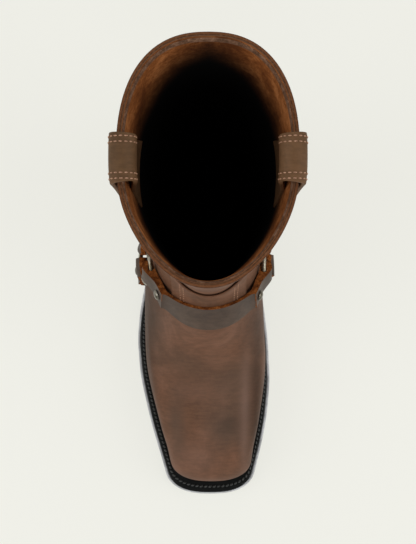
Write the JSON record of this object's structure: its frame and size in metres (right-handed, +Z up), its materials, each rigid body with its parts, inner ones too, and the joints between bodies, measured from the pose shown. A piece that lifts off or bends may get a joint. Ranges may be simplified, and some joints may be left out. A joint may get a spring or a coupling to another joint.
{
  "type": "harness boot",
  "caption": "Pull-on leather harness boot for the right foot, with a square toe, stacked block heel, welted sole, pull straps, and ankle straps joined by metal rings.",
  "frame": {"origin": "on the floor, under the middle of the boot's box", "axes": "+Z up, +Y towards the heel, -Y towards the toe, +X towards the inner (medial) side of the right boot"},
  "size_m": [0.114, 0.321, 0.3178],
  "materials": {
    "upper_leather": "oiled brown leather, mottled and lightly scuffed",
    "strap_leather": "dark greyish brown strap leather with rust-coloured raw edges",
    "lining_leather": "matte tan lining leather",
    "welt_leather": "black dressed leather edge, satin",
    "sole_rubber": "black rubber, satin",
    "nickel": "aged nickel, soft gloss"
  },
  "bodies": {
    "root": {"upper": "upper_leather", "heel_counter": "upper_leather", "instep_pad": "upper_leather", "pull_strap_medial": "upper_leather", "pull_strap_lateral": "upper_leather", "instep_strap": "strap_leather", "heel_strap": "strap_leather", "side_strap_medial": "strap_leather", "side_strap_lateral": "strap_leather", "ring_medial": "nickel", "ring_lateral": "nickel", "rivet_instep_medial": "nickel", "rivet_instep_lateral": "nickel", "rivet_heel_medial": "nickel", "rivet_heel_lateral": "nickel", "rivet_side_medial": "nickel", "rivet_side_lateral": "nickel", "insole": "lining_leather", "welt": "welt_leather", "outsole": "sole_rubber", "heel_stack": "welt_leather", "top_lift": "sole_rubber"}
  },
  "joints": []
}
